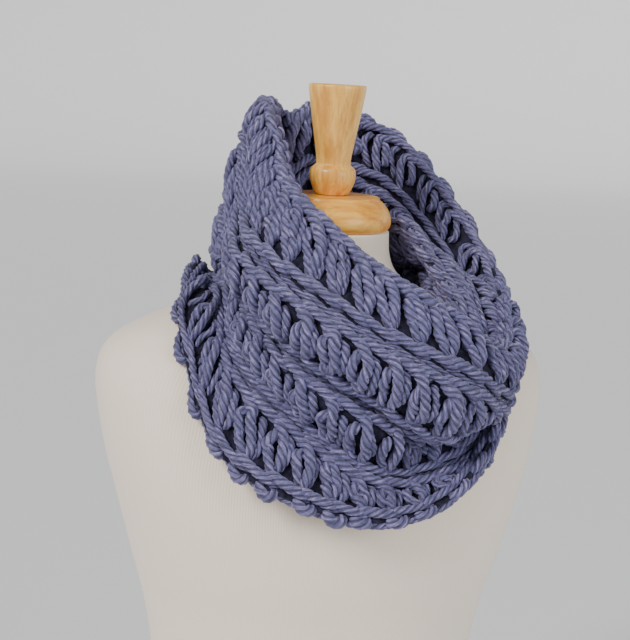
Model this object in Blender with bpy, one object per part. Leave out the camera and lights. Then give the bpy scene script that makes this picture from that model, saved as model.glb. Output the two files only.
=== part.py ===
"""Infinity scarf wound twice round the neck of an armless dress form. Metres, Z up, front -Y."""

import math

import bmesh
import bpy
import numpy as np
from mathutils import Vector
from mathutils.bvhtree import BVHTree

# ---------------------------------------------------------------- named sizes
SEAM_GAP = 0.0003          # between one stretch of the band and the next
SEAM_RADIUS = 0.045        # the tightest place a seam lies at
REST_GAP = 0.0012          # between cloth and what it lies on, less the sag of a facet
CLOTH_WALL = 0.009         # a super bulky crocheted fabric, flattened
BAND_STEP = 5.0            # degrees of winding per row of facets
BAND_CELLS = 12            # facets across the band
TORSO_SEGMENTS = 64
TORSO_RINGS = 44
NECK_TILT = math.radians(3.0)      # the neck leans forward
NECK_PIVOT_Z = 0.640
NECK_RADIUS = 0.0530
TURNED_SEGMENTS = 48

# The form from its flat underside up: height, half width, depth in front of
# and behind the neck axis, and how square the outline is.
TORSO_COLUMNS = ("z", "half_width", "front", "back", "square")
TORSO_TABLE = (
    (0.000, 0.176, 0.118, 0.134, 2.20),
    (0.050, 0.178, 0.120, 0.138, 2.20),
    (0.110, 0.173, 0.118, 0.134, 2.20),
    (0.170, 0.160, 0.112, 0.120, 2.15),
    (0.230, 0.147, 0.105, 0.108, 2.15),
    (0.280, 0.146, 0.104, 0.107, 2.15),
    (0.330, 0.154, 0.111, 0.112, 2.20),
    (0.380, 0.168, 0.124, 0.118, 2.25),
    (0.430, 0.182, 0.131, 0.122, 2.30),
    (0.470, 0.193, 0.125, 0.124, 2.35),
    (0.505, 0.200, 0.112, 0.124, 2.45),
    (0.535, 0.203, 0.099, 0.120, 2.55),
    (0.558, 0.198, 0.088, 0.112, 2.55),
    (0.574, 0.184, 0.078, 0.103, 2.45),
    (0.586, 0.162, 0.071, 0.095, 2.35),
    (0.597, 0.134, 0.065, 0.087, 2.25),
    (0.608, 0.105, 0.060, 0.078, 2.15),
    (0.620, 0.079, 0.056, 0.068, 2.05),
    (0.634, 0.062, 0.0535, 0.059, 2.00),
    (0.650, 0.055, 0.0530, 0.0545, 2.00),
    (0.670, 0.0530, 0.0530, 0.0530, 2.00),
)

# Turned wood, as height above the neck's top and radius.
CAP_PROFILE = (
    (0.0000, 0.0000),
    (0.0000, 0.0490),
    (0.0015, 0.0520),
    (0.0060, 0.0542),
    (0.0120, 0.0540),
    (0.0180, 0.0518),
    (0.0230, 0.0482),
    (0.0262, 0.0450),
    (0.0270, 0.0436),
    (0.0288, 0.0430),
    (0.0296, 0.0416),
    (0.0298, 0.0380),
    (0.0298, 0.0000),
)
FINIAL_PROFILE = (
    (0.0302, 0.0000),
    (0.0302, 0.0138),
    (0.0308, 0.0147),
    (0.0342, 0.0167),
    (0.0392, 0.0190),
    (0.0445, 0.0205),
    (0.0495, 0.0206),
    (0.0530, 0.0196),
    (0.0556, 0.0168),
    (0.0566, 0.0156),
    (0.0585, 0.0153),
    (0.0640, 0.0158),
    (0.0760, 0.0178),
    (0.0900, 0.0202),
    (0.1050, 0.0227),
    (0.1180, 0.0247),
    (0.1240, 0.0255),
    (0.1262, 0.0250),
    (0.1268, 0.0238),
    (0.1268, 0.0000),
)

# The band, wound twice. Each row is one direction seen from the neck axis:
# "turn" is the winding angle in degrees, 0 and 360 straight in front, 90 and
# 450 at the form's left; then radius and height of six lines from the band's
# first edge to its other edge, in millimetres.
BAND_COLUMNS = ("turn", "r0", "z0", "r1", "z1", "r2", "z2", "r3", "z3", "r4", "z4", "r5", "z5")
BAND_TABLE = (
    (-180.0, 112, 752, 118, 720, 123, 688, 129, 655, 136, 622, 144, 590),
    (-157.5, 91, 777, 103, 750, 108, 717, 114, 684, 121, 651, 128, 618),
    (-135.0, 66, 777, 82, 757, 90, 731, 100, 698, 108, 666, 115, 636),
    (-112.5, 54, 768, 70, 753, 78, 728, 87, 695, 93, 663, 98, 637),
    (-90.0, 51, 754, 69, 735, 80, 702, 87, 675, 92, 655, 95, 638),
    (-67.5, 54, 732, 80, 709, 98, 667, 101, 648, 94, 644, 81, 657),
    (-45.0, 75, 710, 110, 681, 136, 640, 131, 619, 109, 618, 88, 633),
    (-22.5, 105, 686, 136, 652, 160, 610, 153, 583, 127, 581, 101, 592),
    (0.0, 128, 647, 153, 615, 172, 576, 163, 547, 137, 546, 112, 561),
    (22.5, 150, 614, 174, 585, 184, 548, 170, 517, 146, 514, 129, 535),
    (45.0, 166, 579, 181, 557, 176, 533, 160, 542, 146, 564, 134, 589),
    (67.5, 156, 611, 165, 597, 151, 603, 130, 618, 109, 632, 90, 648),
    (90.0, 150, 652, 137, 630, 117, 629, 96, 641, 78, 655, 67, 677),
    (112.5, 140, 704, 131, 676, 115, 654, 97, 643, 82, 643, 70, 655),
    (135.0, 129, 752, 122, 720, 112, 690, 100, 662, 89, 642, 80, 634),
    (157.5, 116, 770, 113, 738, 109, 706, 104, 674, 99, 646, 94, 620),
    (180.0, 98, 775, 100, 742, 101, 709, 102, 676, 106, 644, 112, 613),
    (202.5, 78, 748, 84, 716, 90, 684, 96, 652, 106, 622, 122, 594),
    (225.0, 68, 715, 74, 684, 82, 655, 96, 628, 116, 606, 136, 594),
    (247.5, 64, 700, 69, 668, 77, 641, 94, 622, 111, 617, 118, 632),
    (270.0, 64, 688, 69, 660, 79, 636, 97, 619, 113, 614, 127, 620),
    (292.5, 67, 651, 77, 632, 90, 618, 107, 611, 129, 605, 153, 582),
    (315.0, 88, 605, 109, 596, 130, 591, 136, 567, 152, 534, 169, 496),
    (337.5, 96, 574, 125, 564, 153, 553, 138, 524, 150, 493, 172, 462),
    (360.0, 98, 546, 128, 534, 156, 518, 143, 488, 152, 463, 170, 445),
    (382.5, 103, 555, 113, 529, 127, 503, 140, 483, 152, 463, 172, 459),
    (405.0, 110, 583, 120, 562, 134, 540, 149, 513, 162, 492, 170, 508),
    (427.5, 96, 617, 112, 605, 128, 596, 142, 587, 154, 576, 164, 562),
    (450.0, 93, 627, 110, 617, 126, 609, 142, 602, 156, 596, 168, 590),
    (472.5, 110, 626, 126, 614, 141, 602, 155, 590, 168, 581, 178, 573),
    (495.0, 124, 655, 132, 628, 140, 602, 148, 576, 157, 552, 168, 530),
    (517.5, 126, 700, 134, 670, 141, 640, 147, 609, 153, 578, 160, 548),
)
STRETCHES = (
    ("upper_wrap", -120.0, 150.0),
    ("back_crossing_in", 150.0, 240.0),
    ("lower_wrap", 240.0, 480.0),
    ("back_crossing_out", 480.0, 600.0),
)
FULL_TURN = 720.0


# ---------------------------------------------------------------- materials
def principled(name, colour, roughness, sheen=0.0, coat=0.0):
    material = bpy.data.materials.new(name)
    material.use_nodes = True
    shader = material.node_tree.nodes["Principled BSDF"]
    shader.inputs["Base Color"].default_value = (*colour, 1.0)
    shader.inputs["Roughness"].default_value = roughness
    shader.inputs["Sheen Weight"].default_value = sheen
    shader.inputs["Coat Weight"].default_value = coat
    material.diffuse_color = (*colour, 1.0)
    return material


# ---------------------------------------------------------------- helpers
def make_object(name, vertices, faces, material, smooth=True):
    """One mesh object from points and faces, with its faces turned outwards."""
    mesh = bpy.data.meshes.new(name)
    mesh.from_pydata([tuple(v) for v in vertices], [], faces)
    mesh.update()
    work = bmesh.new()
    work.from_mesh(mesh)
    bmesh.ops.recalc_face_normals(work, faces=work.faces)
    if work.calc_volume(signed=True) < 0:
        bmesh.ops.reverse_faces(work, faces=work.faces)
    work.to_mesh(mesh)
    work.free()
    for polygon in mesh.polygons:
        polygon.use_smooth = smooth
    mesh.materials.append(material)
    item = bpy.data.objects.new(name, mesh)
    bpy.context.scene.collection.objects.link(item)
    return item


def catmull(p0, p1, p2, p3, t):
    """A point between p1 and p2 on the curve through all four."""
    return 0.5 * (
        2 * p1
        + (p2 - p0) * t
        + (2 * p0 - 5 * p1 + 4 * p2 - p3) * t * t
        + (3 * p1 - p0 - 3 * p2 + p3) * t ** 3
    )


def table_row(table, position):
    """The row at a fractional index of an open table."""
    last = len(table) - 1
    low = min(int(position), last - 1)
    picks = [table[min(max(low + k, 0), last)] for k in (-1, 0, 1, 2)]
    return catmull(*picks, position - low)


def lean(point, pivot_z):
    """Tilts what stands above the pivot forward with the neck, easing in."""
    x, y, z = point
    ease = min(max((z - pivot_z) / 0.025, 0.0), 1.0)
    angle = NECK_TILT * ease
    up = z - pivot_z
    if up <= 0:
        return (x, y, z)
    return (
        x,
        y * math.cos(angle) - up * math.sin(angle),
        pivot_z + up * math.cos(angle) + y * math.sin(angle),
    )


# ---------------------------------------------------------------- the form
def torso_points():
    """Rings of the torso from the underside to the neck's top."""
    table = np.array(TORSO_TABLE)
    rings = []
    for k in range(TORSO_RINGS + 1):
        z, half_width, front, back, square = table_row(
            table, k / TORSO_RINGS * (len(table) - 1)
        )
        ring = []
        for j in range(TORSO_SEGMENTS):
            angle = 2 * math.pi * j / TORSO_SEGMENTS
            c, s = math.cos(angle), math.sin(angle)
            x = half_width * math.copysign(abs(c) ** (2 / square), c)
            depth = back if s > 0 else front
            y = depth * math.copysign(abs(s) ** (2 / square), s)
            ring.append(lean((x, y, z), NECK_PIVOT_Z))
        rings.append(ring)
    return rings


def form_torso(material):
    rings = torso_points()
    vertices = [point for ring in rings for point in ring]
    n = TORSO_SEGMENTS
    faces = [
        (k * n + j, k * n + (j + 1) % n, (k + 1) * n + (j + 1) % n, (k + 1) * n + j)
        for k in range(len(rings) - 1)
        for j in range(n)
    ]
    faces.append(tuple(range(n - 1, -1, -1)))
    top = (len(rings) - 1) * n
    faces.append(tuple(top + j for j in range(n)))
    return make_object("form_torso", vertices, faces, material)


def turned(name, profile, material):
    """A lathe-turned solid standing on the neck's leaning top."""
    base = TORSO_TABLE[-1][0] + SEAM_GAP
    n = TURNED_SEGMENTS
    vertices = []
    rows = []
    for height, radius in profile:
        z = base + height
        if radius == 0:
            rows.append([len(vertices)] * n)
            vertices.append(lean((0.0, 0.0, z), NECK_PIVOT_Z))
            continue
        rows.append([len(vertices) + j for j in range(n)])
        for j in range(n):
            angle = 2 * math.pi * j / n
            point = (radius * math.cos(angle), radius * math.sin(angle), z)
            vertices.append(lean(point, NECK_PIVOT_Z))
    faces = []
    for low, high in zip(rows[:-1], rows[1:]):
        for j in range(n):
            k = (j + 1) % n
            face = []
            for index in (low[j], low[k], high[k], high[j]):
                if index not in face:
                    face.append(index)
            faces.append(tuple(face))
    return make_object(name, vertices, faces, material)


# ---------------------------------------------------------------- the band
def band_lines():
    """The table as an array: stations, six lines, radius and height in metres."""
    table = np.array(BAND_TABLE)
    return table[:, 1:].reshape(len(table), 6, 2) / 1000.0


def band_section(lines, turn):
    """Radius and height of the six lines at any winding angle."""
    count = len(lines)
    position = (turn - BAND_TABLE[0][0]) / FULL_TURN * count
    low = math.floor(position)
    picks = [lines[(low + k) % count] for k in (-1, 0, 1, 2)]
    return catmull(*picks, position - low)


def across(section, share):
    """Radius and height at a share of the way across one section."""
    return table_row(section, share * (len(section) - 1))


def band_point(lines, turn, share):
    radius, height = across(band_section(lines, turn), share)
    angle = math.radians(turn)
    return Vector((radius * math.sin(angle), -radius * math.cos(angle), height))


def rest_on(tree, point, reach):
    """Moves a point off the form until it lies at least reach from it."""
    for _ in range(3):
        near, normal, _, distance = tree.find_nearest(point)
        inside = (point - near).dot(normal) < 0
        if not inside and distance >= reach:
            break
        point = near + normal * reach
    return point


def band_grid(tree, lines, start, end):
    """Middle surface of one stretch and one row past each end, clear of the form."""
    steps = max(2, round((end - start) / BAND_STEP))
    reach = CLOTH_WALL / 2 + REST_GAP
    grid = []
    for k in range(-1, steps + 2):
        turn = start + (end - start) * k / steps
        row = []
        for j in range(BAND_CELLS + 1):
            point = band_point(lines, turn, j / BAND_CELLS)
            row.append(rest_on(tree, point, reach))
        grid.append(row)
    return grid


def grid_normal(grid, k, j):
    last_j = len(grid[0]) - 1
    along = grid[k + 1][j] - grid[k - 1][j]
    over = grid[k][min(j + 1, last_j)] - grid[k][max(j - 1, 0)]
    return over.cross(along).normalized()


def stretch(name, tree, lines, start, end, material):
    """One stretch of the band with its wall, closed all round."""
    trim = math.degrees(SEAM_GAP / 2 / SEAM_RADIUS)
    grid = band_grid(tree, lines, start + trim, end - trim)
    rows, columns = len(grid) - 2, len(grid[0])
    sides = []
    for side in (1, -1):
        for k in range(1, rows + 1):
            for j in range(columns):
                offset = grid_normal(grid, k, j) * (side * CLOTH_WALL / 2)
                sides.append(grid[k][j] + offset)
    size = rows * columns

    def at(k, j, side):
        return side * size + k * columns + j

    faces = []
    for k in range(rows - 1):
        for j in range(columns - 1):
            faces.append((at(k, j, 0), at(k, j + 1, 0), at(k + 1, j + 1, 0), at(k + 1, j, 0)))
            faces.append((at(k, j, 1), at(k + 1, j, 1), at(k + 1, j + 1, 1), at(k, j + 1, 1)))
        for j in (0, columns - 1):
            faces.append((at(k, j, 0), at(k + 1, j, 0), at(k + 1, j, 1), at(k, j, 1)))
    for k in (0, rows - 1):
        for j in range(columns - 1):
            faces.append((at(k, j, 0), at(k, j + 1, 0), at(k, j + 1, 1), at(k, j, 1)))
    return make_object(name, sides, faces, material)


def build():
    for item in list(bpy.data.objects):
        bpy.data.objects.remove(item, do_unlink=True)
    jersey = principled("jersey", (0.78, 0.70, 0.60), 0.85, sheen=0.2)
    cap_wood = principled("cap_wood", (0.66, 0.40, 0.17), 0.35, coat=0.4)
    finial_wood = principled("finial_wood", (0.70, 0.46, 0.22), 0.35, coat=0.4)
    torso = form_torso(jersey)
    turned("neck_cap", CAP_PROFILE, cap_wood)
    turned("finial", FINIAL_PROFILE, finial_wood)
    work = bmesh.new()
    work.from_mesh(torso.data)
    tree = BVHTree.FromBMesh(work)
    work.free()
    lines = band_lines()
    for name, start, end in STRETCHES:
        yarn = principled(name + "_yarn", (0.09, 0.12, 0.24), 0.9, sheen=0.3)
        stretch(name, tree, lines, start, end, yarn)


build()
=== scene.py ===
"""Infinity scarf of chunky crocheted yarn, wound twice round the neck of a dress form.

Each operator builds one group of pieces on the frame that is loaded first. Metres, Z up,
front of the form towards -Y.
"""

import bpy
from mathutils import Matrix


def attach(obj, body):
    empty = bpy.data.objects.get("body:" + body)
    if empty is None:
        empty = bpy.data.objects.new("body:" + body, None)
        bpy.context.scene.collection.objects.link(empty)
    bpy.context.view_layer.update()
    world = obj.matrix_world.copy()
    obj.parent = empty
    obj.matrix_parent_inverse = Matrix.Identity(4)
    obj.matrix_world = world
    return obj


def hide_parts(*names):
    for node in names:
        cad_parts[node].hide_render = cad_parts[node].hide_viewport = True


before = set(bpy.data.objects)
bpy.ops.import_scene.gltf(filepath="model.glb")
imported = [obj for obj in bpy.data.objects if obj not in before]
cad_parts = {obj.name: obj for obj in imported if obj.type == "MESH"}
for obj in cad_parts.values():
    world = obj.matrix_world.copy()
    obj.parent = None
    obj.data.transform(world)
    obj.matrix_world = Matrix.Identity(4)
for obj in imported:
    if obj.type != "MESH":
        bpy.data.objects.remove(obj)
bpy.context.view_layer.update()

import math

import bmesh
import bpy
import numpy as np
from bpy.props import FloatProperty, FloatVectorProperty, IntProperty, PointerProperty
from mathutils import Matrix, Vector
from mathutils.bvhtree import BVHTree

bl_info = {
    "name": "Infinity scarf on a dress form",
    "version": (1, 0, 0),
    "blender": (4, 5, 0),
    "location": "View3D > Sidebar > Scarf",
    "description": "Builds a chunky crocheted infinity scarf on a jersey dress form",
    "category": "Object",
}

# ------------------------------------------------------------------ named sizes
FULL_TURN = 720.0
FIRST_TURN = -180.0
LAST_TURN = FIRST_TURN + FULL_TURN
MILLIMETRE = 0.001

# Points along the band's middle line when its length is measured, and the small steps
# in degrees and in share of the width from which its normals are worked out.
MIDDLE_LINE_POINTS = 2881
TURN_STEP = 0.8
SHARE_STEP = 0.02

SEED = 11

# The form from its flat underside up: height, half the width, depth to the front,
# depth to the back, and how square the section is (2 is an ellipse).
TORSO_TABLE = (
    (0.000, 0.176, 0.118, 0.134, 2.20),
    (0.050, 0.178, 0.120, 0.138, 2.20),
    (0.110, 0.173, 0.118, 0.134, 2.20),
    (0.170, 0.160, 0.112, 0.120, 2.15),
    (0.230, 0.147, 0.105, 0.108, 2.15),
    (0.280, 0.146, 0.104, 0.107, 2.15),
    (0.330, 0.154, 0.111, 0.112, 2.20),
    (0.380, 0.168, 0.124, 0.118, 2.25),
    (0.430, 0.182, 0.131, 0.122, 2.30),
    (0.470, 0.193, 0.125, 0.124, 2.35),
    (0.505, 0.200, 0.112, 0.124, 2.45),
    (0.535, 0.203, 0.099, 0.120, 2.55),
    (0.558, 0.198, 0.088, 0.112, 2.55),
    (0.574, 0.184, 0.078, 0.103, 2.45),
    (0.586, 0.162, 0.071, 0.095, 2.35),
    (0.597, 0.134, 0.065, 0.087, 2.25),
    (0.608, 0.105, 0.060, 0.078, 2.15),
    (0.620, 0.079, 0.056, 0.068, 2.05),
    (0.634, 0.062, 0.0535, 0.059, 2.00),
    (0.650, 0.055, 0.0530, 0.0545, 2.00),
    (0.670, 0.0530, 0.0530, 0.0530, 2.00),
)
TORSO_SEGMENTS = 128
TORSO_RINGS = 132
NECK_TILT = math.radians(3.0)
NECK_PIVOT_Z = 0.640
NECK_TOP_Z = 0.6703

# Turned wood, as height above the neck's top and radius.
CAP_PROFILE = (
    (0.0000, 0.0000),
    (0.0000, 0.0490),
    (0.0015, 0.0520),
    (0.0060, 0.0542),
    (0.0120, 0.0540),
    (0.0180, 0.0518),
    (0.0230, 0.0482),
    (0.0262, 0.0450),
    (0.0270, 0.0436),
    (0.0288, 0.0430),
    (0.0296, 0.0416),
    (0.0298, 0.0380),
    (0.0298, 0.0000),
)
FINIAL_PROFILE = (
    (0.0302, 0.0000),
    (0.0302, 0.0138),
    (0.0308, 0.0147),
    (0.0342, 0.0167),
    (0.0392, 0.0190),
    (0.0445, 0.0205),
    (0.0495, 0.0206),
    (0.0530, 0.0196),
    (0.0556, 0.0168),
    (0.0566, 0.0156),
    (0.0585, 0.0153),
    (0.0640, 0.0158),
    (0.0760, 0.0178),
    (0.0900, 0.0202),
    (0.1050, 0.0227),
    (0.1180, 0.0247),
    (0.1240, 0.0255),
    (0.1262, 0.0250),
    (0.1268, 0.0238),
    (0.1268, 0.0000),
)

# The band, wound twice: winding angle in degrees, then radius and height of six
# lines from its first edge to its other edge, in millimetres.
BAND_TABLE = (
    (-180.0, 112, 752, 118, 720, 123, 688, 129, 655, 136, 622, 144, 590),
    (-157.5, 91, 777, 103, 750, 108, 717, 114, 684, 121, 651, 128, 618),
    (-135.0, 66, 777, 82, 757, 90, 731, 100, 698, 108, 666, 115, 636),
    (-112.5, 54, 768, 70, 753, 78, 728, 87, 695, 93, 663, 98, 637),
    (-90.0, 51, 754, 69, 735, 80, 702, 87, 675, 92, 655, 95, 638),
    (-67.5, 54, 732, 80, 709, 98, 667, 101, 648, 94, 644, 81, 657),
    (-45.0, 75, 710, 110, 681, 136, 640, 131, 619, 109, 618, 88, 633),
    (-22.5, 105, 686, 136, 652, 160, 610, 153, 583, 127, 581, 101, 592),
    (0.0, 128, 647, 153, 615, 172, 576, 163, 547, 137, 546, 112, 561),
    (22.5, 150, 614, 174, 585, 184, 548, 170, 517, 146, 514, 129, 535),
    (45.0, 166, 579, 181, 557, 176, 533, 160, 542, 146, 564, 134, 589),
    (67.5, 156, 611, 165, 597, 151, 603, 130, 618, 109, 632, 90, 648),
    (90.0, 150, 652, 137, 630, 117, 629, 96, 641, 78, 655, 67, 677),
    (112.5, 140, 704, 131, 676, 115, 654, 97, 643, 82, 643, 70, 655),
    (135.0, 129, 752, 122, 720, 112, 690, 100, 662, 89, 642, 80, 634),
    (157.5, 116, 770, 113, 738, 109, 706, 104, 674, 99, 646, 94, 620),
    (180.0, 98, 775, 100, 742, 101, 709, 102, 676, 106, 644, 112, 613),
    (202.5, 78, 748, 84, 716, 90, 684, 96, 652, 106, 622, 122, 594),
    (225.0, 68, 715, 74, 684, 82, 655, 96, 628, 116, 606, 136, 594),
    (247.5, 64, 700, 69, 668, 77, 641, 94, 622, 111, 617, 118, 632),
    (270.0, 64, 688, 69, 660, 79, 636, 97, 619, 113, 614, 127, 620),
    (292.5, 67, 651, 77, 632, 90, 618, 107, 611, 129, 605, 153, 582),
    (315.0, 88, 605, 109, 596, 130, 591, 136, 567, 152, 534, 169, 496),
    (337.5, 96, 574, 125, 564, 153, 553, 138, 524, 150, 493, 172, 462),
    (360.0, 98, 546, 128, 534, 156, 518, 143, 488, 152, 463, 170, 445),
    (382.5, 103, 555, 113, 529, 127, 503, 140, 483, 152, 463, 172, 459),
    (405.0, 110, 583, 120, 562, 134, 540, 149, 513, 162, 492, 170, 508),
    (427.5, 96, 617, 112, 605, 128, 596, 142, 587, 154, 576, 164, 562),
    (450.0, 93, 627, 110, 617, 126, 609, 142, 602, 156, 596, 168, 590),
    (472.5, 110, 626, 126, 614, 141, 602, 155, 590, 168, 581, 178, 573),
    (495.0, 124, 655, 132, 628, 140, 602, 148, 576, 157, 552, 168, 530),
    (517.5, 126, 700, 134, 670, 141, 640, 147, 609, 153, 578, 160, 548),
)

# Stretches of the band by frame node, with their first and last winding angle.
STRETCHES = (
    ("upper_wrap", -120.0, 150.0),
    ("back_crossing_in", 150.0, 240.0),
    ("lower_wrap", 240.0, 480.0),
    ("back_crossing_out", 480.0, 600.0),
)

# Lines of stitch tops: share of the way across the band, which face they stand on
# (1 outside, -1 inside), yarn size, how far each link bulges towards an edge in
# millimetres, and how much of a link's full height they have.
ROPE_LINES = (
    (0.038, 1, 1.36, -2.0, 1.0),
    (0.028, -1, 1.22, -2.4, 1.0),
    (0.287, 1, 1.06, 0.0, 1.0),
    (0.328, 1, 0.60, 0.0, 0.15),
    (0.370, 1, 1.10, 0.0, 1.05),
    (0.630, 1, 1.06, 0.0, 1.0),
    (0.672, 1, 0.60, 0.0, 0.15),
    (0.713, 1, 1.10, 0.0, 1.05),
    (0.950, 1, 1.02, 0.8, 1.0),
    (0.988, -1, 1.06, 1.2, 0.9),
    (0.287, -1, 1.02, 0.0, 1.0),
    (0.370, -1, 1.02, 0.0, 1.0),
    (0.630, -1, 1.02, 0.0, 1.0),
    (0.713, -1, 1.02, 0.0, 1.0),
)
# Rows of tall stitches: share of the way across at their tops and feet.
POST_ROWS = ((0.055, 0.262), (0.395, 0.612), (0.738, 0.930))

# Strands of one tall stitch: yarn size and samples, then steps along the band in
# stitches, share of the row's height, and height off the cloth's middle in millimetres.
POST_STRANDS = (
    (1.16, 19, (-0.44, -0.10, 2.0), (-0.23, -0.02, 5.4), (-0.03, 0.09, 7.8), (0.08, 0.30, 8.2),
     (0.11, 0.55, 7.4), (0.07, 0.80, 5.6), (-0.02, 1.06, 0.8)),
    (1.12, 13, (-0.06, 0.14, 2.5), (-0.24, 0.24, 6.0), (-0.34, 0.42, 6.8), (-0.28, 0.60, 5.6),
     (-0.16, 0.72, 1.5)),
    (0.98, 11, (0.20, 0.08, 1.5), (0.36, 0.20, 4.0), (0.41, 0.42, 4.6), (0.33, 0.68, 4.0),
     (0.20, 0.90, 1.5)),
    (0.98, 9, (-0.24, 0.54, 1.5), (-0.24, 0.68, 5.6), (-0.14, 0.86, 5.8), (-0.02, 1.04, 1.0)),
)
# One link of a rope: steps in stitches, sideways and height in millimetres.
ROPE_SAMPLES = 14
ROPE_LINK = ((-0.30, -2.0, 0.2), (-0.04, -1.8, 3.4), (0.26, -0.8, 5.6), (0.62, 0.7, 5.6),
             (0.98, 1.8, 3.6), (1.26, 2.2, 0.2))
# One knob of an edge, a loop per stitch: steps, outwards and height in millimetres.
KNOB_SAMPLES = 9
KNOB_LINK = ((-0.30, -1.5, 0.0), (-0.20, 3.4, 0.6), (0.02, 6.6, 0.8), (0.22, 3.6, 0.4),
             (0.32, -1.5, -0.4))
# Knobbed edges: share of the way across, way out, yarn size and share of the reach.
KNOB_LINES = ((0.0, -1.0, 1.12, 0.50), (1.0, 1.0, 1.22, 0.95))
FULL_WIDTH = 0.150
LEAST_SQUEEZE = 0.76
MOST_SWELL = 1.04

# The cloth's body under the stitches: degrees from one row of points to the next,
# points across, degrees left free at each end, wall, distance of its lower face from
# the form, and how far it reaches past the band's edges as a share of the width.
CLOTH_STEP = 2.5
CLOTH_COLUMNS = 37
CLOTH_END_GAP = 0.2
CLOTH_WALL = 0.0030
CLOTH_STAND_OFF = 0.0045
CLOTH_OVERHANG = 0.012

# What touches the form is held off it up to this height, and the yarn by this much.
HELD_OFF_BELOW = 0.66
YARN_CLEARANCE = 0.0004

# Unevenness of handwork, as standard deviations.
STRAND_WANDER = 0.042
STRAND_SHIFT = 0.04
STRAND_RISE = 0.13
LINK_SHIFT = 0.03
LINK_SWING = 0.12
KNOB_SHIFT = 0.06
KNOB_SWING = 0.18
YARN_UNEVEN = 0.06
PLY_DEPTH = 0.30
LONGEST_RUN = 40.0

# The stage, in metres and degrees.
FLOOR_DROP = 0.0005
FLOOR_REACH = 24.0
RIM_RADIUS = 6.0
RIM_STEPS = 8
RIM_TOP = 9.0
FLOOR_SEGMENTS = 96
TURNED_SEGMENTS = 96
WORLD_STRENGTH = 0.42
DAYLIGHT = (0.96, 0.98, 1.0)
SUN_COLOUR = (1.0, 0.975, 0.94)
SUN_STRENGTH = 3.1
SUN_SPREAD = 24.0
SUN_PLACE = (-2.00, -1.30, 2.15)
SOFTBOX_WATTS = 20.0
SOFTBOX_SIZE = 1.2
SOFTBOX_PLACE = (1.2, -2.0, 1.2)
LAMPS_AIM = (0.0, 0.0, 0.55)
CAMERA_AZIMUTH = -16.0
CAMERA_HEIGHT = 0.753
CAMERA_TURN = 0.365
CAMERA_DOWN = 6.77
CAMERA_ROLL = 2.5
LENS = 88.2
LENS_DISTANCE = 1.40


# ------------------------------------------------------------------ settings
class ScarfSettings(bpy.types.PropertyGroup):
    """Sizes and colours of the yarn and its stitches."""

    yarn_radius: FloatProperty(
        name="Yarn radius",
        description="Half the thickness of the plied yarn",
        default=0.0042,
        unit="LENGTH",
    )
    stitch_pitch: FloatProperty(
        name="Stitch pitch",
        description="Distance from one stitch to the next along the band",
        default=0.0265,
        unit="LENGTH",
    )
    plies: IntProperty(name="Plies", description="Strands twisted into the yarn", default=4)
    lay: FloatProperty(
        name="Lay",
        description="Length in which a ply winds once round the yarn",
        default=0.029,
        unit="LENGTH",
    )
    yarn_colour: FloatVectorProperty(
        name="Yarn colour",
        description="Middle colour of the heathered yarn",
        subtype="COLOR",
        default=(0.152, 0.137, 0.296),
    )


class FormSettings(bpy.types.PropertyGroup):
    """Colours of the dress form."""

    jersey_colour: FloatVectorProperty(
        name="Jersey colour",
        description="Colour of the knitted cover",
        subtype="COLOR",
        default=(0.90, 0.78, 0.65),
    )
    wood_colour: FloatVectorProperty(
        name="Wood colour",
        description="Middle colour of the varnished wood",
        subtype="COLOR",
        default=(0.90, 0.50, 0.105),
    )


class StageSettings(bpy.types.PropertyGroup):
    """Floor, camera and light."""

    distance: FloatProperty(
        name="Camera distance",
        description="From the neck's axis to the camera",
        default=LENS_DISTANCE,
        unit="LENGTH",
    )
    light_strength: FloatProperty(
        name="Light strength",
        description="Multiplies every lamp",
        default=1.0,
    )


# ------------------------------------------------------------------ shader helpers
class Sock:
    """A node socket that takes part in arithmetic by adding Math nodes."""

    def __init__(self, shade, socket):
        self.shade = shade
        self.socket = socket

    def _math(self, operation, first, second=None):
        values = {0: first}
        if second is not None:
            values[1] = second
        node = self.shade.node("ShaderNodeMath", {"operation": operation}, values)
        return Sock(self.shade, node.outputs[0])

    def __add__(self, other):
        return self._math("ADD", self, other)

    __radd__ = __add__

    def __mul__(self, other):
        return self._math("MULTIPLY", self, other)

    __rmul__ = __mul__

    def __sub__(self, other):
        return self._math("SUBTRACT", self, other)

    def __rsub__(self, other):
        return self._math("SUBTRACT", other, self)

    def sine(self):
        return self._math("SINE", self)

    def clamped(self):
        node = self.shade.node("ShaderNodeClamp", {}, {0: self})
        return Sock(self.shade, node.outputs[0])


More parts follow.
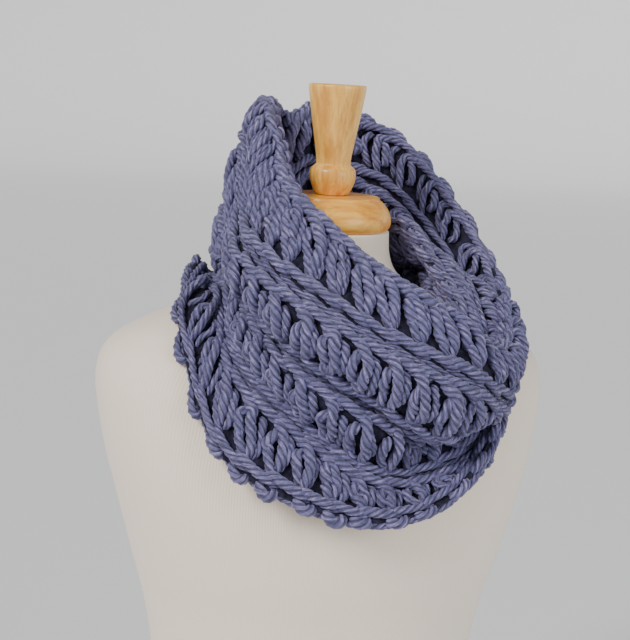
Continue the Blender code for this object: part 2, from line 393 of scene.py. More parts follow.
class Shade:
    """One material's node tree."""

    def __init__(self, name, roughness, sheen=0.0, coat=0.0, specular=0.5):
        self.material = bpy.data.materials.new(name)
        self.material.use_nodes = True
        self.tree = self.material.node_tree
        self.shader = self.tree.nodes["Principled BSDF"]
        self.shader.inputs["Roughness"].default_value = roughness
        self.shader.inputs["Sheen Weight"].default_value = sheen
        self.shader.inputs["Sheen Roughness"].default_value = 0.5
        self.shader.inputs["Coat Weight"].default_value = coat
        self.shader.inputs["Coat Roughness"].default_value = 0.18
        self.shader.inputs["Specular IOR Level"].default_value = specular

    def node(self, kind, settings=None, values=None):
        """Any node: its settings first, then the values or links of its sockets."""
        node = self.tree.nodes.new(kind)
        for key, value in (settings or {}).items():
            if key == "stops":
                ramp = node.color_ramp
                while len(ramp.elements) < len(value):
                    ramp.elements.new(0.5)
                for element, (place, colour) in zip(ramp.elements, value):
                    element.position = place
                    element.color = (*colour, 1.0)
            else:
                setattr(node, key, value)
        for key, value in (values or {}).items():
            socket = node.inputs[key]
            if isinstance(value, Sock):
                self.tree.links.new(value.socket, socket)
            else:
                socket.default_value = value
        return node

    def out(self, node, key=0):
        """A node's output as a Sock."""
        return Sock(self, node.outputs[key])

    def place(self, scale=(1.0, 1.0, 1.0), turn=(0.0, 0.0, 0.0)):
        """Object coordinates, stretched and turned."""
        coordinates = self.node("ShaderNodeTexCoord")
        mapping = self.node(
            "ShaderNodeMapping",
            {},
            {"Vector": self.out(coordinates, "Object"), "Scale": scale, "Rotation": turn},
        )
        return self.out(mapping)

    def noise(self, scale, detail=2.0, roughness=0.5, place=None):
        """Noise from 0 to 1 at a place."""
        node = self.node(
            "ShaderNodeTexNoise",
            {},
            {
                "Vector": place or self.place(),
                "Scale": scale,
                "Detail": detail,
                "Roughness": roughness,
            },
        )
        return self.out(node, "Fac")

    def ramp(self, value, stops):
        """A colour for a value, from (place, colour) stops."""
        return self.out(self.node("ShaderNodeValToRGB", {"stops": stops}, {0: value}), "Color")

    def mix(self, factor, first, second, blend="MIX"):
        """One colour laid over another."""
        node = self.node(
            "ShaderNodeMix",
            {"data_type": "RGBA", "blend_type": blend},
            {0: factor, 6: first, 7: second},
        )
        return self.out(node, 2)

    def attribute(self, name):
        """A number that the mesh carries."""
        node = self.node("ShaderNodeAttribute", {"attribute_name": name})
        return self.out(node, "Fac")

    def fibre_place(self, round_size, along_size):
        """A place that runs with the fibres of a swept yarn."""
        fibre = self.node("ShaderNodeAttribute", {"attribute_name": "fibre"})
        run = self.attribute("run") * along_size
        along = self.node("ShaderNodeCombineXYZ", {}, {"Z": run})
        size = (round_size,) * 3
        node = self.node(
            "ShaderNodeVectorMath",
            {"operation": "MULTIPLY_ADD"},
            {0: self.out(fibre, "Vector"), 1: size, 2: self.out(along)},
        )
        return self.out(node)

    def bump(self, height, distance, strength=1.0):
        """A normal that leans with a height."""
        node = self.node(
            "ShaderNodeBump", {}, {"Height": height, "Distance": distance, "Strength": strength}
        )
        return self.out(node)

    def feed(self, name, value):
        """Links a value to the shader's input of that name."""
        self.tree.links.new(value.socket, self.shader.inputs[name])


def tint(colour, factor):
    """A colour made lighter or darker."""
    return tuple(min(max(c * factor, 0.0), 1.0) for c in colour)


# ------------------------------------------------------------------ materials
def yarn_material(settings):
    """Heathered plied yarn with fibres that follow its plies, and painted shade that darkens the
    grooves between its plies.
    """
    shade = Shade("denim_yarn", 0.58, sheen=0.15, specular=0.42)
    base = tuple(settings.yarn_colour)
    place = shade.fibre_place(0.42, 17.0)
    fibres = shade.noise(6.0, 3.0, 0.65, place)
    heather = shade.noise(260.0, 2.0, 0.6)
    drift = shade.noise(11.0, 1.0)
    colour = shade.ramp(
        fibres * 0.7 + heather * 0.3,
        (
            (0.36, tint(base, 0.34)),
            (0.47, tint(base, 0.78)),
            (0.54, tint(base, 1.20)),
            (0.63, (base[0] * 2.60, base[1] * 2.45, base[2] * 2.00)),
        ),
    )
    bluer = shade.mix(
        drift * 0.4, colour, (base[0] * 0.78, base[1] * 0.90, base[2] * 1.22, 1.0)
    )
    # Painted shade: the grooves between the plies are mixed towards a near-black tint of the yarn.
    groove = shade.attribute("ply_groove")
    shade.feed("Base Color", shade.mix(groove * 0.92, bluer, (*tint(base, 0.14), 1.0)))
    shade.feed("Normal", shade.bump(fibres * 0.75 + heather * 0.25, 0.0020, 1.0))
    return shade.material


def backing_material(settings):
    """The yarn seen deep between the stitches, as painted shade: far darker than the yarn's own
    colour.
    """
    shade = Shade("denim_yarn_in_shadow", 0.95, sheen=0.1, specular=0.1)
    base = tuple(settings.yarn_colour)
    heather = shade.noise(160.0, 3.0, 0.6)
    # Painted shade: between 5 and 17 per cent of the yarn's colour.
    shade.feed(
        "Base Color",
        shade.ramp(heather, ((0.35, tint(base, 0.05)), (0.65, tint(base, 0.17)))),
    )
    shade.feed("Normal", shade.bump(heather, 0.0015, 1.0))
    return shade.material


def jersey_material(settings):
    """Cream knitted cover with fine upright ribs."""
    shade = Shade("cream_jersey", 0.82, sheen=0.25, specular=0.3)
    base = tuple(settings.jersey_colour)
    coordinates = shade.node("ShaderNodeTexCoord")
    split = shade.node(
        "ShaderNodeSeparateXYZ", {}, {0: shade.out(coordinates, "Object")}
    )
    x, y = shade.out(split, "X"), shade.out(split, "Y")
    angle = shade.node("ShaderNodeMath", {"operation": "ARCTAN2"}, {0: x, 1: y})
    ribs = (shade.out(angle) * 420.0).sine() * 0.5 + 0.5
    knit = shade.noise(1400.0, 1.0, 0.5, shade.place((1.0, 1.0, 0.35)))
    patch = shade.noise(6.0, 2.0)
    shade.feed(
        "Base Color",
        shade.mix(
            ribs * 0.35 + patch * 0.25,
            (*tint(base, 1.04), 1.0),
            (*tint(base, 0.90), 1.0),
        ),
    )
    shade.feed("Normal", shade.bump(ribs * 0.6 + knit * 0.4, 0.00025, 0.8))
    return shade.material


def wood_material(settings, name, along, warmth):
    """Varnished pale hardwood with its grain along one axis."""
    shade = Shade(name, 0.42, coat=0.35, specular=0.4)
    red, green, blue = settings.wood_colour
    base = (red, green * (1.0 - 0.16 * warmth), blue * (1.0 - 0.50 * warmth))
    scale = (1.0, 1.0, 0.07) if along == "up" else (0.10, 1.0, 1.0)
    wander = shade.noise(14.0, 2.0, 0.5, shade.place(scale))
    grain = shade.noise(420.0, 4.0, 0.65, shade.place(scale))
    bands = shade.noise(120.0, 3.0, 0.6, shade.place(scale))
    colour = shade.ramp(
        bands * 0.6 + wander * 0.4,
        (
            (0.36, (base[0] * 0.74, base[1] * 0.58, base[2] * 0.42)),
            (0.46, (base[0] * 0.94, base[1] * 0.88, base[2] * 0.84)),
            (0.54, (base[0] * 1.06, base[1] * 1.16, base[2] * 1.36)),
            (0.64, (base[0] * 1.12, base[1] * 1.38, base[2] * 2.40)),
        ),
    )
    streaks = ((grain - 0.50) * 5.0).clamped()
    shade.feed("Base Color", shade.mix(streaks * 0.55, colour, (*tint(base, 0.50), 1.0)))
    shade.feed("Roughness", 0.34 + grain * 0.22)
    shade.feed("Normal", shade.bump(grain, 0.0002, 0.4))
    return shade.material


def stage_material():
    """Matt pale grey for the floor."""
    shade = Shade("pale_floor", 0.9, specular=0.2)
    shade.shader.inputs["Base Color"].default_value = (0.78, 0.79, 0.80, 1.0)
    return shade.material


# ------------------------------------------------------------------ band surface
def catmull(p0, p1, p2, p3, t):
    """Points between p1 and p2 on the curve through all four."""
    return 0.5 * (
        2 * p1
        + (p2 - p0) * t
        + (2 * p0 - 5 * p1 + 4 * p2 - p3) * t * t
        + (3 * p1 - p0 - 3 * p2 + p3) * t**3
    )


class Band:
    """The middle surface of the wound band and its stitch stations."""

    def __init__(self, pitch):
        table = np.array(BAND_TABLE, float)
        self.lines = table[:, 1:].reshape(len(table), 6, 2) / 1000.0
        turns = np.linspace(FIRST_TURN, LAST_TURN, MIDDLE_LINE_POINTS)
        middle = self.point(turns, np.full(turns.shape, 0.5))
        steps = np.linalg.norm(np.diff(middle, axis=0), axis=1)
        self.lengths = np.concatenate([[0.0], np.cumsum(steps)])
        self.turns = turns
        self.length = self.lengths[-1]
        self.count = int(round(self.length / pitch))

    def station(self, stitch):
        """Winding angle at a stitch number, whole or part."""
        laps = np.floor(stitch / self.count)
        place = (stitch - laps * self.count) / self.count * self.length
        return np.interp(place, self.lengths, self.turns) + laps * FULL_TURN

    def stitch(self, turn):
        """Stitch number at a winding angle."""
        laps = math.floor((turn - FIRST_TURN) / FULL_TURN)
        place = np.interp(turn - laps * FULL_TURN, self.turns, self.lengths)
        return place / self.length * self.count + laps * self.count

    def profile(self, turn, share):
        """Radius and height at a winding angle and a share of the way across."""
        count = len(self.lines)
        place = (turn - FIRST_TURN) / FULL_TURN * count
        low = np.floor(place).astype(int)
        picks = [self.lines[(low + k) % count] for k in (-1, 0, 1, 2)]
        section = catmull(*picks, (place - low)[..., None, None])
        cell = np.clip(share, 0.0, 1.0) * 5
        first = np.minimum(cell.astype(int), 4)
        ends = [np.clip(first + k, 0, 5) for k in (-1, 0, 1, 2)]
        picks = [
            np.take_along_axis(section, e[..., None, None], axis=-2)[..., 0, :] for e in ends
        ]
        inside = catmull(*picks, (cell - first)[..., None])
        over = np.minimum(share, 0.0)[..., None] * (section[..., 1, :] - section[..., 0, :]) * 5
        past = (
            np.maximum(share - 1.0, 0.0)[..., None]
            * (section[..., 5, :] - section[..., 4, :])
            * 5
        )
        return inside + over + past

    def point(self, turn, share):
        """Points of the middle surface."""
        profile = self.profile(turn, share)
        angle = np.radians(turn)
        return np.stack(
            [
                profile[..., 0] * np.sin(angle),
                -profile[..., 0] * np.cos(angle),
                profile[..., 1],
            ],
            axis=-1,
        )

    def width(self, turn):
        """Length of the section across the band."""
        shares = np.linspace(0.0, 1.0, 9)
        profile = self.profile(turn[..., None], np.broadcast_to(shares, turn.shape + (9,)))
        return np.linalg.norm(np.diff(profile, axis=-2), axis=-1).sum(axis=-1)

    def normal(self, turn, share):
        """Directions straight off the surface, outwards."""
        along = self.point(turn + TURN_STEP, share) - self.point(turn - TURN_STEP, share)
        over = self.point(turn, share + SHARE_STEP) - self.point(turn, share - SHARE_STEP)
        cross = np.cross(over, along)
        return cross / np.maximum(np.linalg.norm(cross, axis=-1, keepdims=True), 1e-9)

    def lift(self, turn, share, height):
        """Points at a height off the middle surface, outside positive."""
        return self.point(turn, share) + self.normal(turn, share) * height[..., None]


def smooth_path(controls, samples):
    """Samples along the curve through (strands, points, 3) controls."""
    count = controls.shape[1]
    place = np.linspace(0.0, count - 1, samples)
    low = np.minimum(place.astype(int), count - 2)
    picks = [controls[:, np.clip(low + k, 0, count - 1)] for k in (-1, 0, 1, 2)]
    return catmull(*picks, (place - low)[None, :, None])


# ------------------------------------------------------------------ mesh helpers
def make_piece(name, vertices, faces, material):
    """A smooth closed mesh with its faces pointing out."""
    mesh = bpy.data.meshes.new(name)
    mesh.from_pydata([tuple(v) for v in vertices], [], faces)
    work = bmesh.new()
    work.from_mesh(mesh)
    bmesh.ops.recalc_face_normals(work, faces=work.faces)
    if work.calc_volume(signed=True) < 0:
        bmesh.ops.reverse_faces(work, faces=work.faces)
    work.to_mesh(mesh)
    work.free()
    for polygon in mesh.polygons:
        polygon.use_smooth = True
    mesh.materials.append(material)
    piece = bpy.data.objects.new(name, mesh)
    bpy.context.scene.collection.objects.link(piece)
    return piece


def lean(point):
    """Tilts what stands above the neck's pivot forward, easing in."""
    x, y, z = point
    up = z - NECK_PIVOT_Z
    if up <= 0:
        return (x, y, z)
    angle = NECK_TILT * min(up / 0.025, 1.0)
    return (
        x,
        y * math.cos(angle) - up * math.sin(angle),
        NECK_PIVOT_Z + up * math.cos(angle) + y * math.sin(angle),
    )


def table_row(table, place):
    """A row between the table's rows, on a smooth curve through them."""
    last = len(table) - 1
    low = min(int(place), last - 1)
    picks = [table[min(max(low + k, 0), last)] for k in (-1, 0, 1, 2)]
    return catmull(*picks, place - low)


def form_tree():
    """A search tree of the form's frame solid, for cloth that lies on it."""
    work = bmesh.new()
    work.from_mesh(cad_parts["form_torso"].data)
    bmesh.ops.remove_doubles(work, verts=work.verts, dist=1e-6)
    tree = BVHTree.FromBMesh(work)
    work.free()
    return tree


def hold_off(tree, points, reach):
    """Moves points that are nearer the form than reach straight off it."""
    flat = points.reshape(-1, 3)
    for k, (x, y, z) in enumerate(flat):
        if z > HELD_OFF_BELOW:
            continue
        spot = Vector((x, y, z))
        near, normal, _, distance = tree.find_nearest(spot)
        inside = (spot - near).dot(normal) < 0
        if inside or distance < reach:
            flat[k] = near + normal * reach
    return flat.reshape(points.shape)


# ------------------------------------------------------------------ yarn tree
def link_value(tree, node, key, value):
    """Links an output to a node's input, or sets a plain value there."""
    if hasattr(value, "is_output"):
        tree.links.new(value, node.inputs[key])
    else:
        node.inputs[key].default_value = value


def geometry_node(tree, kind, settings=None, values=None):
    """Adds a node with its settings first and then its values or links."""
    node = tree.nodes.new(kind)
    for key, value in (settings or {}).items():
        setattr(node, key, value)
    for key, value in (values or {}).items():
        link_value(tree, node, key, value)
    return node


def yarn_tree():
    """Sweeps a plied outline along every edge path of the mesh it is put on."""
    tree = bpy.data.node_groups.new("Plied yarn along paths", "GeometryNodeTree")
    for name, kind, way in (
        ("Paths", "Geometry", "INPUT"),
        ("Yarn Radius", "Float", "INPUT"),
        ("Plies", "Int", "INPUT"),
        ("Ply Depth", "Float", "INPUT"),
        ("Points Round", "Int", "INPUT"),
        ("Material", "Material", "INPUT"),
        ("Yarn", "Geometry", "OUTPUT"),
    ):
        tree.interface.new_socket(name, in_out=way, socket_type="NodeSocket" + kind)
    given = tree.nodes.new("NodeGroupInput").outputs

    def add(kind, settings=None, values=None):
        return geometry_node(tree, kind, settings, values)

    def maths(operation, first, second=0.0):
        return add("ShaderNodeMath", {"operation": operation}, {0: first, 1: second}).outputs[0]

    circle = add(
        "GeometryNodeCurvePrimitiveCircle",
        {"mode": "RADIUS"},
        {"Resolution": given["Points Round"], "Radius": given["Yarn Radius"]},
    )
    factor = add("GeometryNodeSplineParameter").outputs["Factor"]
    angle = maths("MULTIPLY", maths("MULTIPLY", factor, 2 * math.pi), given["Plies"])
    angle = maths("ADD", angle, math.pi / 3)
    groove = maths("MULTIPLY_ADD", maths("COSINE", angle), -0.5)
    groove.node.inputs[2].default_value = 0.5
    groove = maths("POWER", groove, 2.0)
    shrink = maths("SUBTRACT", 1.0, maths("MULTIPLY", groove, given["Ply Depth"]))
    place = add("GeometryNodeInputPosition").outputs[0]
    scaled = add("ShaderNodeVectorMath", {"operation": "SCALE"}, {0: place})
    tree.links.new(shrink, scaled.inputs["Scale"])
    lobed = add(
        "GeometryNodeSetPosition",
        {},
        {"Geometry": circle.outputs[0], "Position": scaled.outputs[0]},
    )
    # The groove depth is kept on the profile for the painted shade in the grooves.
    stored = add(
        "GeometryNodeStoreNamedAttribute",
        {"data_type": "FLOAT", "domain": "POINT"},
        {"Geometry": lobed.outputs[0], "Name": "ply_groove", "Value": groove},
    )
    turn = maths("MULTIPLY", factor, 2 * math.pi)
    round_it = add(
        "ShaderNodeCombineXYZ", {}, {"X": maths("COSINE", turn), "Y": maths("SINE", turn)}
    )
    stored = add(
        "GeometryNodeStoreNamedAttribute",
        {"data_type": "FLOAT_VECTOR", "domain": "POINT"},
        {"Geometry": stored.outputs[0], "Name": "fibre", "Value": round_it.outputs[0]},
    )
    paths = add("GeometryNodeMeshToCurve", {}, {"Mesh": given["Paths"]})
    twist = add("GeometryNodeInputNamedAttribute", {"data_type": "FLOAT"}, {"Name": "twist"})
    swell = add("GeometryNodeInputNamedAttribute", {"data_type": "FLOAT"}, {"Name": "swell"})
    tilted = add(
        "GeometryNodeSetCurveTilt",
        {},
        {"Curve": paths.outputs[0], "Tilt": twist.outputs["Attribute"]},
    )
    sized = add(
        "GeometryNodeSetCurveRadius",
        {},
        {"Curve": tilted.outputs[0], "Radius": swell.outputs["Attribute"]},
    )
    sweep_values = {
        "Curve": sized.outputs[0],
        "Profile Curve": stored.outputs[0],
        "Fill Caps": True,
    }
    swept = add("GeometryNodeCurveToMesh", {}, sweep_values)
    if "Scale" in swept.inputs:
        tree.links.new(swell.outputs["Attribute"], swept.inputs["Scale"])
    smooth = add("GeometryNodeSetShadeSmooth", {}, {"Geometry": swept.outputs[0]})
    real = add("GeometryNodeRealizeInstances", {}, {"Geometry": smooth.outputs[0]})
    coloured = add(
        "GeometryNodeSetMaterial",
        {},
        {"Geometry": real.outputs[0], "Material": given["Material"]},
    )
    end = tree.nodes.new("NodeGroupOutput")
    tree.links.new(coloured.outputs[0], end.inputs["Yarn"])
    return tree


def path_mesh(name, groups, settings, tree, rng):
    """A mesh of loose edge paths that carries the values the yarn tree reads."""
    points, edges, values, start = [], [], [], 0
    for paths, size in groups:
        values.append(np.stack(yarn_values(paths, size, settings.lay, rng)).reshape(3, -1))
        paths = hold_off(tree, paths, settings.yarn_radius + YARN_CLEARANCE)
        index = start + np.arange(paths.shape[0] * paths.shape[1]).reshape(paths.shape[:2])
        edges.append(np.stack([index[:, :-1].ravel(), index[:, 1:].ravel()], axis=1))
        points.append(paths.reshape(-1, 3))
        start += len(points[-1])
    points, edges = np.concatenate(points), np.concatenate(edges)
    mesh = bpy.data.meshes.new(name + "_paths")
    mesh.vertices.add(len(points))
    mesh.vertices.foreach_set("co", points.reshape(-1).astype(np.float32))
    mesh.edges.add(len(edges))
    mesh.edges.foreach_set("vertices", edges.reshape(-1).astype(np.int32))
    for key, numbers in zip(("twist", "swell", "run"), np.concatenate(values, axis=1)):
        layer = mesh.attributes.new(key, "FLOAT", "POINT")
        layer.data.foreach_set("value", numbers.astype(np.float32))
    mesh.update()
    return mesh


def paths_to_yarn(name, tree, mesh, settings, material):
    """Runs the yarn tree on a mesh of paths and keeps a plain mesh."""
    holder = bpy.data.objects.new(name + "_holder", mesh)
    bpy.context.scene.collection.objects.link(holder)
    modifier = holder.modifiers.new("Yarn", "NODES")
    modifier.node_group = tree
    wanted = {
        "Yarn Radius": settings.yarn_radius,
        "Plies": settings.plies,
        "Ply Depth": PLY_DEPTH,
        "Points Round": 3 * settings.plies,
        "Material": material,
    }
    for item in tree.interface.items_tree:
        if item.item_type == "SOCKET" and item.in_out == "INPUT" and item.name in wanted:
            modifier[item.identifier] = wanted[item.name]
    holder.update_tag()
    graph = bpy.context.evaluated_depsgraph_get()
    made = bpy.data.meshes.new_from_object(holder.evaluated_get(graph), depsgraph=graph)
    made.name = name
    bpy.data.objects.remove(holder, do_unlink=True)
    bpy.data.meshes.remove(mesh)
    work = bmesh.new()
    work.from_mesh(made)
    if work.calc_volume(signed=True) < 0:
        bmesh.ops.reverse_faces(work, faces=work.faces)
    work.to_mesh(made)
    work.free()
    piece = bpy.data.objects.new(name, made)
    bpy.context.scene.collection.objects.link(piece)
    return piece


# ------------------------------------------------------------------ stitches
def strand_paths(band, stitches, rng, strand, row, face):
    """One strand of every tall stitch of a row."""
    top, foot = row
    controls = np.repeat(np.array(strand[2:])[None], len(stitches), axis=0)
    controls[..., :2] += rng.normal(0.0, STRAND_WANDER, controls[..., :2].shape)
    controls[..., 0] += rng.normal(0.0, STRAND_SHIFT, (len(stitches), 1))
    controls[..., 2] *= rng.normal(1.0, STRAND_RISE, (len(stitches), 1))
    path = smooth_path(controls, strand[1])
    turn = band.station(stitches[:, None] + path[..., 0] + (0.5 if face < 0 else 0.0))
    share = top + (foot - top) * path[..., 1]
    points = band.lift(turn, share, path[..., 2] * MILLIMETRE * face)
    return points, strand[0] * closing(band, turn)


def closing(band, turn):
    """How much thinner the yarn is squeezed where the band is gathered."""
    return np.clip(band.width(turn) / FULL_WIDTH, LEAST_SQUEEZE, MOST_SWELL)


def post_paths(band, stitches, rng, inner_strands):
    """Strands of the tall stitches on both faces as (paths, yarn size) groups."""
    return [
        strand_paths(band, stitches, rng, strand, row, face)
        for face, strands in ((1.0, POST_STRANDS), (-1.0, POST_STRANDS[:inner_strands]))
        for row in POST_ROWS
        for strand in strands
    ]


def rope_paths(band, stitches, rng):
    """Overlapping links of the ropes of stitch tops and of both edges."""
    groups = []
    for share_at, face, size, bulge, rise in ROPE_LINES:
        controls = np.repeat(np.array(ROPE_LINK)[None], len(stitches), axis=0)
        controls[..., 0] += rng.normal(0.0, LINK_SHIFT, (len(stitches), 1))
        controls[..., 1:] *= rng.normal(1.0, LINK_SWING, (len(stitches), 1, 2))
        controls[..., 2] *= rise
        path = smooth_path(controls, ROPE_SAMPLES)
        middle = np.sin(np.clip(path[..., 0], 0.0, 1.0) * math.pi)
        turn = band.station(stitches[:, None] + path[..., 0])
        squeeze = closing(band, turn)
        side = (path[..., 1] + bulge * middle) * MILLIMETRE * squeeze
        share = share_at + side / band.width(turn)
        points = band.lift(turn, share, path[..., 2] * MILLIMETRE * face)
        groups.append((points, size * squeeze))
    for share_at, out, size, reach in KNOB_LINES:
        controls = np.repeat(np.array(KNOB_LINK)[None], len(stitches), axis=0)
        controls[..., 0] += rng.normal(0.0, KNOB_SHIFT, (len(stitches), 1))
        controls[..., 1:] *= rng.normal(1.0, KNOB_SWING, (len(stitches), 1, 2))
        path = smooth_path(controls, KNOB_SAMPLES)
        turn = band.station(stitches[:, None] + path[..., 0])
        share = share_at + out * reach * path[..., 1] * MILLIMETRE / band.width(turn)
        points = band.lift(turn, share, path[..., 2] * MILLIMETRE)
        groups.append((points, size * closing(band, turn)))
    return groups


def yarn_values(paths, size, lay, rng, ends=0.45):
    """Turns of the plies along each path, radius factors and length run so far."""
    steps = np.linalg.norm(np.diff(paths, axis=1), axis=2)
    along = np.concatenate([np.zeros((len(paths), 1)), np.cumsum(steps, axis=1)], axis=1)
    twist = -along / lay * 2 * math.pi + rng.uniform(0, 6.28, (len(paths), 1))
    share = np.linspace(0.0, 1.0, paths.shape[1])[None]
    bell = ends + (1 - ends) * np.clip(np.sin(share * math.pi) * 1.8, 0.0, 1.0)
    swell = bell * size * rng.normal(1.0, YARN_UNEVEN, (len(paths), 1))
    run = along + rng.uniform(0.0, LONGEST_RUN, (len(paths), 1))
    return twist, swell, run


def backing(name, band, tree, start, end, material):
    """The cloth's body between its faces, a thin closed wall under the stitches. It stands for the
    inner yarn, and with its dark material it is the painted shade seen in the gaps.
    """
    rows = int(round((end - start) / CLOTH_STEP)) + 1
    columns = CLOTH_COLUMNS
    turn, share = np.meshgrid(
        np.linspace(start + CLOTH_END_GAP, end - CLOTH_END_GAP, rows),
        np.linspace(-CLOTH_OVERHANG, 1.0 + CLOTH_OVERHANG, columns),
        indexing="ij",
    )
    middle = band.point(turn, share)
    middle = hold_off(tree, middle, CLOTH_WALL / 2 + CLOTH_STAND_OFF)
    half = band.normal(turn, share) * CLOTH_WALL / 2
    sides = np.concatenate([(middle + half).reshape(-1, 3), (middle - half).reshape(-1, 3)])
    size = rows * columns

    def at(k, j, side):
        return side * size + k * columns + j

    faces = []
    for k in range(rows - 1):
        for j in range(columns - 1):
            faces.append((at(k, j, 0), at(k, j + 1, 0), at(k + 1, j + 1, 0), at(k + 1, j, 0)))
            faces.append((at(k, j, 1), at(k + 1, j, 1), at(k + 1, j + 1, 1), at(k, j + 1, 1)))
        for j in (0, columns - 1):
            faces.append((at(k, j, 0), at(k + 1, j, 0), at(k + 1, j, 1), at(k, j, 1)))
    for k in (0, rows - 1):
        for j in range(columns - 1):
            faces.append((at(k, j, 0), at(k, j + 1, 0), at(k, j + 1, 1), at(k, j, 1)))
    return make_piece(name, sides, faces, material)


# ------------------------------------------------------------------ operators
class BuildForm(bpy.types.Operator):
    """Builds the jersey-covered torso"""

    bl_idname = "scarf.build_form"
    bl_label = "Dress form"

    def execute(self, context):
        table = np.array(TORSO_TABLE)
        rings = []
        for k in range(TORSO_RINGS + 1):
            z, half_width, front, back, square = table_row(
                table, k / TORSO_RINGS * (len(table) - 1)
            )
            for j in range(TORSO_SEGMENTS):
                angle = 2 * math.pi * j / TORSO_SEGMENTS
                c, s = math.cos(angle), math.sin(angle)
                depth = back if s > 0 else front
                x = half_width * math.copysign(abs(c) ** (2 / square), c)
                y = depth * math.copysign(abs(s) ** (2 / square), s)
                rings.append(lean((x, y, z)))
        n = TORSO_SEGMENTS
        faces = [
            (k * n + j, k * n + (j + 1) % n, (k + 1) * n + (j + 1) % n, (k + 1) * n + j)
            for k in range(TORSO_RINGS)
            for j in range(n)
        ]
        faces.append(tuple(range(n - 1, -1, -1)))
        faces.append(tuple(TORSO_RINGS * n + j for j in range(n)))
        piece = make_piece(
            "form_jersey", rings, faces, jersey_material(context.scene.form_settings)
        )
        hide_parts("form_torso")
        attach(piece, "root")
        return {"FINISHED"}


class BuildWood(bpy.types.Operator):
    """Builds the turned neck cap and finial"""

    bl_idname = "scarf.build_wood"
    bl_label = "Turned wood"

    def execute(self, context):
        settings = context.scene.form_settings
        for name, node, profile, along, warmth in (
            ("cap_wood", "neck_cap", CAP_PROFILE, "across", 1.0),
            ("finial_wood", "finial", FINIAL_PROFILE, "up", 0.35),
        ):
            material = wood_material(settings, name, along, warmth)
            piece = self.turned(name, profile, material)
            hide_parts(node)
            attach(piece, "root")
        return {"FINISHED"}

    def turned(self, name, profile, material):
        """A solid turned about the neck's axis."""
        n = TURNED_SEGMENTS
        vertices, rows = [], []
        for height, radius in self.rounded(profile):
            z = NECK_TOP_Z + height
            if radius == 0:
                rows.append([len(vertices)] * n)
                vertices.append(lean((0.0, 0.0, z)))
                continue
            rows.append([len(vertices) + j for j in range(n)])
            for j in range(n):
                angle = 2 * math.pi * j / n
                vertices.append(lean((radius * math.cos(angle), radius * math.sin(angle), z)))
        faces = []
        for low, high in zip(rows[:-1], rows[1:]):
            for j in range(n):
                k = (j + 1) % n
                face = []
                for index in (low[j], low[k], high[k], high[j]):
                    if index not in face:
                        face.append(index)
                faces.append(tuple(face))
        return make_piece(name, vertices, faces, material)

    def rounded(self, profile):
        """The profile with three steps between its middle points."""
        table = np.array(profile)
        rows = [tuple(table[0])]
        body = table[1:-1]
        for k in range(len(body) - 1):
            for part in range(3):
                rows.append(tuple(table_row(body, k + part / 3)))
        rows.append(tuple(body[-1]))
        rows.append(tuple(table[-1]))
        return rows


class BuildScarf(bpy.types.Operator):
    """Builds the crocheted band, stretch by stretch"""

    bl_idname = "scarf.build_scarf"
    bl_label = "Scarf"

    def execute(self, context):
        settings = context.scene.scarf_settings
        band = Band(settings.stitch_pitch)
        tree = form_tree()
        sweep = yarn_tree()
        yarn = yarn_material(settings)
        # A dark sheet of painted shade for the depth between the stitches.
        under = backing_material(settings)
        for name, start, end in STRETCHES:
            self.stretch(name, start, end, band, tree, sweep, yarn, under, settings)
        return {"FINISHED"}

    def stretch(self, name, start, end, band, tree, sweep, yarn, under, settings):
        """One stretch: its cloth, its tall stitches and its ropes and edges."""
        rng = np.random.default_rng(SEED + int(start + 500))
        first = math.ceil(band.stitch(start))
        last = math.ceil(band.stitch(end))
        stitches = np.arange(first, last).astype(float)
        cloth = backing(name + "_cloth", band, tree, start, end, under)
        inner_strands = 3 if name == "upper_wrap" else 2
        for kind, groups in (
            ("posts", post_paths(band, stitches, rng, inner_strands)),
            ("ropes", rope_paths(band, stitches, rng)),
        ):
            mesh = path_mesh(name + "_" + kind, groups, settings, tree, rng)
            piece = paths_to_yarn(name + "_" + kind, sweep, mesh, settings, yarn)
            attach(piece, "root")
        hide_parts(name)
        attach(cloth, "root")


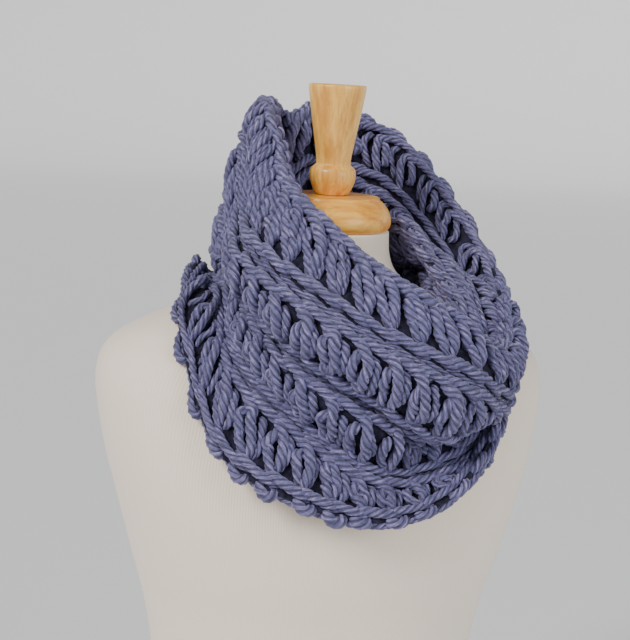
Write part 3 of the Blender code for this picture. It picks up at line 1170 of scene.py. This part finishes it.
class BuildStage(bpy.types.Operator):
    """Sets the floor, the soft lamps and the camera"""

    bl_idname = "scarf.build_stage"
    bl_label = "Stage"

    def execute(self, context):
        settings = context.scene.stage_settings
        self.floor()
        self.lamps(settings.light_strength)
        self.camera(settings.distance)
        return {"FINISHED"}

    def floor(self):
        """A wide pale floor with a far rim that curves up all round."""
        profile = [(0.0, 0.0), (FLOOR_REACH, 0.0)]
        for k in range(1, RIM_STEPS + 1):
            angle = math.pi / 2 * k / RIM_STEPS
            reach = FLOOR_REACH + RIM_RADIUS * math.sin(angle)
            profile.append((reach, RIM_RADIUS - RIM_RADIUS * math.cos(angle)))
        profile.append((FLOOR_REACH + RIM_RADIUS, RIM_TOP))
        n = FLOOR_SEGMENTS
        vertices = [(0.0, 0.0, -FLOOR_DROP)]
        for reach, z in profile[1:]:
            for k in range(n):
                angle = 2 * math.pi * k / n
                x, y = reach * math.cos(angle), reach * math.sin(angle)
                vertices.append((x, y, z - FLOOR_DROP))
        faces = [(0, 1 + k, 1 + (k + 1) % n) for k in range(n)]
        for ring in range(len(profile) - 2):
            low = 1 + ring * n
            for k in range(n):
                j = (k + 1) % n
                faces.append((low + k, low + n + k, low + n + j, low + j))
        mesh = bpy.data.meshes.new("floor")
        mesh.from_pydata(vertices, [], faces)
        for polygon in mesh.polygons:
            polygon.use_smooth = True
        mesh.materials.append(stage_material())
        floor = bpy.data.objects.new("floor", mesh)
        bpy.context.scene.collection.objects.link(floor)

    def lamps(self, strength):
        """A pale room, a wide sun from the left and a softbox from the right."""
        world = bpy.data.worlds.new("soft_room")
        world.use_nodes = True
        shade = world.node_tree.nodes["Background"]
        shade.inputs["Color"].default_value = (*DAYLIGHT, 1.0)
        shade.inputs["Strength"].default_value = WORLD_STRENGTH * strength
        bpy.context.scene.world = world
        sun = bpy.data.lights.new("window_light", "SUN")
        sun.energy = SUN_STRENGTH * strength
        sun.angle = math.radians(SUN_SPREAD)
        sun.color = SUN_COLOUR
        softbox = bpy.data.lights.new("softbox", "AREA")
        softbox.shape = "DISK"
        softbox.size = SOFTBOX_SIZE
        softbox.energy = SOFTBOX_WATTS * strength
        softbox.color = DAYLIGHT
        for data, place in ((sun, SUN_PLACE), (softbox, SOFTBOX_PLACE)):
            lamp = bpy.data.objects.new(data.name, data)
            lamp.location = place
            aim = Vector(LAMPS_AIM) - Vector(place)
            lamp.rotation_euler = aim.to_track_quat("-Z", "Y").to_euler()
            bpy.context.scene.collection.objects.link(lamp)

    def camera(self, distance):
        """Looks at the neck from in front and a little to the left, rolled slightly."""
        azimuth = math.radians(CAMERA_AZIMUTH)
        data = bpy.data.cameras.new("camera")
        data.lens = LENS * distance / LENS_DISTANCE
        data.clip_start = 0.05
        camera = bpy.data.objects.new("camera", data)
        camera.matrix_world = (
            Matrix.Translation(
                (distance * math.sin(azimuth), -distance * math.cos(azimuth), CAMERA_HEIGHT)
            )
            @ Matrix.Rotation(azimuth + math.radians(CAMERA_TURN), 4, "Z")
            @ Matrix.Rotation(math.radians(90.0 - CAMERA_DOWN), 4, "X")
            @ Matrix.Rotation(math.radians(CAMERA_ROLL), 4, "Z")
        )
        bpy.context.scene.collection.objects.link(camera)
        bpy.context.scene.camera = camera


class ScarfPanel(bpy.types.Panel):
    """Lists the builders in the sidebar"""

    bl_idname = "VIEW3D_PT_scarf"
    bl_label = "Infinity scarf"
    bl_space_type = "VIEW_3D"
    bl_region_type = "UI"
    bl_category = "Scarf"

    def draw(self, context):
        layout = self.layout
        scene = context.scene
        for settings, names in (
            (scene.form_settings, ("jersey_colour", "wood_colour")),
            (scene.scarf_settings, ("yarn_radius", "stitch_pitch", "plies", "lay", "yarn_colour")),
            (scene.stage_settings, ("distance", "light_strength")),
        ):
            for name in names:
                layout.prop(settings, name)
        for operator in (BuildForm, BuildWood, BuildScarf, BuildStage):
            layout.operator(operator.bl_idname)


CLASSES = (
    ScarfSettings,
    FormSettings,
    StageSettings,
    BuildForm,
    BuildWood,
    BuildScarf,
    BuildStage,
    ScarfPanel,
)


def register():
    """Adds the classes and their settings to Blender."""
    for item in CLASSES:
        bpy.utils.register_class(item)
    bpy.types.Scene.scarf_settings = PointerProperty(type=ScarfSettings)
    bpy.types.Scene.form_settings = PointerProperty(type=FormSettings)
    bpy.types.Scene.stage_settings = PointerProperty(type=StageSettings)


def unregister():
    """Takes the settings and classes out again."""
    del bpy.types.Scene.stage_settings
    del bpy.types.Scene.form_settings
    del bpy.types.Scene.scarf_settings
    for item in reversed(CLASSES):
        bpy.utils.unregister_class(item)


def main():
    register()
    bpy.ops.scarf.build_form()
    bpy.ops.scarf.build_wood()
    bpy.ops.scarf.build_scarf()
    bpy.ops.scarf.build_stage()


if __name__ == "__main__":
    main()
